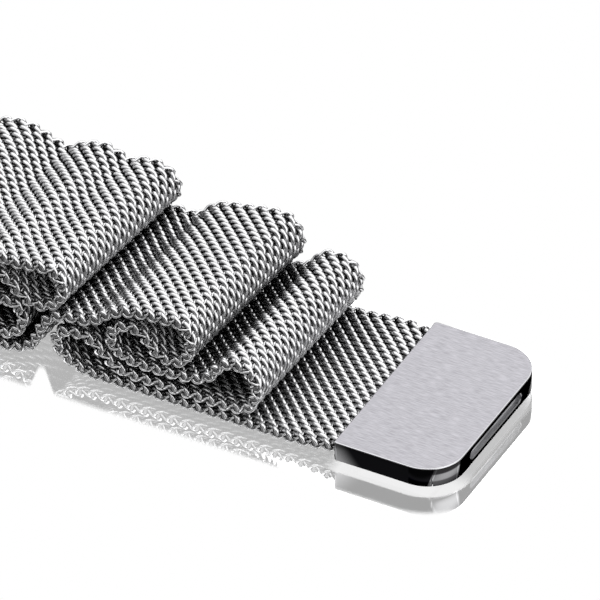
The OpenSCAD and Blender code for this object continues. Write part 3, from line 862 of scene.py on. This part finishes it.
def tab_shell():
    """The tab's housing, with its mouth for the mesh, its hollow for the magnets and its slot."""
    top, bottom = 0.1, 0.12
    layers = [
        (tab_outline(bottom), 0),
        (tab_outline(0), bottom),
        (tab_outline(0), TAB_T - top),
        (tab_outline(top * 0.35), TAB_T - top * 0.35),
        (tab_outline(top), TAB_T),
    ]
    shell = stacked("tab_shell", layers)
    # The cutters reach this far past the faces that they open
    past = 0.1
    mouth_half, mouth_end, mouth_low, mouth_high = MESH_W / 2 + 0.22, -4.25, 0.5, 1.8
    hollow_x0, hollow_x1, hollow_half, ceiling = -3.65, 4.2, 10, 1.7
    ledge, ledge_height = 0.3, 0.35
    carve(shell, [
        block(
            "mouth",
            (-TAB_LEN / 2 - past, -mouth_half, mouth_low),
            (mouth_end, mouth_half, mouth_high),
        ),
        block("hollow", (hollow_x0, -hollow_half, -past), (hollow_x1, hollow_half, ceiling)),
        block(
            "ledge",
            (hollow_x0 - ledge, -hollow_half - ledge, -past),
            (hollow_x1 + ledge, hollow_half + ledge, ledge_height),
        ),
        slot_cutter(),
    ])
    for finish in (
        brushed_steel("brushed_top", (0.322, 0.317, 0.34), (0.481, 0.472, 0.506), 0.36),
        mirror_side_painted_reflection(),
        # A polished chamfer; its lighter colour is a painted highlight
        polished("chamfer_painted_highlight", (0.75, 0.75, 0.77), 0.12),
        polished("slot_wall", (0.4, 0.4, 0.41), 0.3),
        # The slot's rim is painted dark as shade
        polished("slot_rim_painted_shade", (0.16, 0.16, 0.165), 0.2),
    ):
        shell.data.materials.append(finish)
    top_face, side_face, edge_face, wall_face, rim_face = range(5)
    for face in shell.data.polygons:
        tilt = face.normal.z
        if tilt > 0.99 and face.center.z > (TAB_T - 0.01) * MM:
            face.material_index = top_face
        elif 0.2 < tilt < 0.99 and face.center.z > 1.9 * MM:
            face.material_index = edge_face
        elif 0.3 < face.normal.x < 0.9 and abs(face.center.x - TAB_LEN / 2 * MM) < 0.1 * MM:
            face.material_index = rim_face
        elif face.center.x > (TAB_LEN / 2 - 1) * MM and abs(face.normal.x) < 0.3:
            face.material_index = wall_face
        else:
            face.material_index = side_face
        face.use_smooth = abs(tilt) < 0.2 and abs(face.normal.x) > 0.01
    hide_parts("tab_housing")
    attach(shell, "tab")


# CAD pieces that keep their own shape
def dress(node, finish, edge=0.0):
    """Gives a CAD node its finish, with its edges eased by edge millimetres."""
    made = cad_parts[node]
    made.data.materials.clear()
    made.data.materials.append(finish)
    for slot in made.material_slots:
        slot.material = finish
    if edge:
        ease = made.modifiers.new("eased_edges", "BEVEL")
        ease.width = edge * MM
        ease.segments = 2
        ease.limit_method = "ANGLE"
        ease.angle_limit = math.radians(35)
        ease.harden_normals = True


def bar_spring(half, finish):
    """Coil spring behind a bar's plunger; the real one shortens as the release slides, this one keeps
    its length.
    """
    node = f"{half}_bar_spring"
    low, high = (np.array(corner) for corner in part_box(node))
    wire = SPRING_WIRE_R * MM
    middle, size = (low + high) / 2, high - low
    share = np.linspace(0, 1, SPRING_TURNS * SPRING_POINTS_PER_TURN + 1)
    turn = share * SPRING_TURNS * math.tau
    outward = np.stack([np.cos(turn), np.zeros_like(turn), np.sin(turn)], axis=-1)
    line = middle + outward * (size[0] / 2 - wire)
    line[:, 1] = low[1] + wire + (size[1] - 2 * wire) * share
    way = np.gradient(line, axis=0)
    across = np.cross(way / np.linalg.norm(way, axis=-1, keepdims=True), outward)
    angle = (np.arange(WIRE_SIDES) * math.tau / WIRE_SIDES)[None, :, None]
    side_way = np.cos(angle) * outward[:, None] + np.sin(angle) * across[:, None]
    points = (line[:, None] + side_way * wire).reshape(-1, 3)
    spring = mesh_object(f"{half}_coil_spring", points, tube_faces(len(line), 1, False))
    spring.data.materials.append(finish)
    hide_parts(node)
    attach(spring, f"{half}_lug")
    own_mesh(spring)


def dress_metal_pieces():
    """Finishes of the lug ends, the bars, the ring and what the tab holds."""
    brushed = brushed_steel("brushed_ends", (0.34, 0.335, 0.36), (0.47, 0.46, 0.49), 0.34, along=1)
    turned = polished("turned_bar", (0.5, 0.5, 0.52), 0.16)
    plate = brushed_steel("closing_plate", (0.42, 0.42, 0.44), (0.52, 0.52, 0.54), 0.4, along=1)
    keeper = polished("keeper_plate", (0.42, 0.42, 0.44), 0.4)
    spring = polished("spring_wire", (0.5, 0.5, 0.52), 0.25)
    for node in ("long_lug_end", "short_lug_end"):
        dress(node, brushed, 0.1)
    dress("ring_barrel", brushed, 0.1)
    dress("ring_loop", brushed, 0.25)
    for half in ("long", "short"):
        dress(f"{half}_bar_tube", turned, 0.04)
        dress(f"{half}_bar_plunger", turned, 0.06)
        dress(f"{half}_release_lever", turned, 0.06)
        bar_spring(half, spring)
    dress("ring_pin", turned, 0.05)
    dress("tab_slot_strip", satin_strip())
    dress("tab_closing_plate", plate, 0.05)
    dress("tab_keeper_plate", keeper)
    dress("tab_magnets", plated_magnet(), 0.08)


# Studio
def set_studio():
    """Soft light from above and behind, darker from the camera's side, on a white ground."""
    world = bpy.data.worlds.new("studio")
    bpy.context.scene.world = world
    sky = Finish(world)
    where = sky.node("ShaderNodeTexCoord", output=0)
    lit = Vector((0, -0.1, 1)).normalized()
    right = Vector((0.95, 0.1, 0.3)).normalized()
    back = Vector((-0.4, 0.7, 0.6)).normalized()
    front = Vector((0.1, -0.95, 0.3)).normalized()

    def towards(direction):
        return sky.node(
            "ShaderNodeVectorMath",
            {"operation": "DOT_PRODUCT"},
            {0: where, 1: tuple(direction)},
            output=1,
        )

    height = sky.part(where, 2)
    glow = towards(lit).ramp(0.6, 0.95) * 0.45 + towards(back).ramp(0.5, 0.95) * 0.6
    dome = height.ramp(0, 0.4) * (glow + 0.83)
    gloom = towards(front).ramp(0.65, 0.95)
    fill = towards(right).ramp(0.55, 0.97) * height.ramp(0, 0.1)
    strength = dome * (1 - gloom * 0.9) + fill * 0.9 + 0.02
    seen = sky.node("ShaderNodeLightPath", output=0)
    strength = seen + (1 - seen) * strength
    light = sky.node(
        "ShaderNodeBackground", {}, {"Color": (1.0, 1.0, 1.0, 1.0), "Strength": strength}
    )
    sky.node("ShaderNodeOutputWorld", {}, {"Surface": light})
    bpy.context.scene.view_settings.view_transform = "Standard"


def lay_floor():
    """A floor that the camera sees through, apart from its gloss under and beside the band."""
    corners = [(-1, -1), (1, -1), (1, 1), (-1, 1)]
    floor = mesh_object(
        "floor",
        np.array([(x * FLOOR_HALF, y * FLOOR_HALF, FLOOR_Z) for x, y in corners]) * MM,
        np.array([[0, 1, 2, 3]]),
    )
    finish = new_finish("white_gloss_floor")
    # Emission lights what looks down at it, and the camera sees the white beyond
    seen = finish.node("ShaderNodeLightPath", output=0)
    dim = finish.node("ShaderNodeEmission", {}, {"Color": (1, 1, 1, 1), "Strength": 0.2})
    clear = finish.node("ShaderNodeBsdfTransparent")
    ground = finish.node("ShaderNodeMixShader", {}, {0: seen, 1: dim, 2: clear})
    gloss = finish.node("ShaderNodeBsdfGlossy", {}, {"Color": (2, 2, 2, 1), "Roughness": 0.03})
    where = finish.place()
    x, y = finish.part(where, 0), finish.part(where, 1)
    # How far a place lies outside the tab's outline, drawn on along the band
    out_x = (x - (TAB_LEN / 2 - TIP_R) * MM).most(0)
    out_y = (y.size() - (BAND_W / 2 - TIP_R) * MM).most(0)
    away = (out_x * out_x + out_y * out_y) ** 0.5 - TIP_R * MM
    # The gloss is weaker close round the tab, most at its near side
    beside_tab = x.ramp(-0.0075, -0.0055)
    near_side = y.ramp(-0.0055, -0.0085)
    pale_rim = away.ramp(0.0009, 0.0006) * beside_tab * (near_side * 0.55 + 0.2)
    # It ends about 3 mm out, and sooner on a slanting line between the two stacks of folds
    across_gap = x * 0.886 + y * 0.464 + 0.0397
    stack_gap = across_gap.size().ramp(0.0014, 0.0001)
    outer = away - beside_tab * 0.0005 + stack_gap * 0.0033
    near = outer.ramp(0.0032, 0.0022) * (1 - pale_rim)
    # It shows from above alone, and stops at the ring
    slant = finish.node("ShaderNodeLayerWeight", {}, {"Blend": 0.5}, output=1)
    below = finish.node("ShaderNodeNewGeometry", output=6)
    from_above = slant.ramp(0.6, 0.5) * (1 - below) * x.ramp(-0.135, -0.133)
    share = near * from_above * (beside_tab * 0.1 + 0.54)
    both = finish.node("ShaderNodeMixShader", {}, {0: share, 1: ground, 2: gloss})
    finish.node("ShaderNodeOutputMaterial", {}, {"Surface": both})
    floor.data.materials.append(finish.owner)


set_camera()
wire = drawn_wire()
weave_long_half(wire)
weave_short_half(wire)
tab_shell()
dress_metal_pieces()
set_studio()
lay_floor()
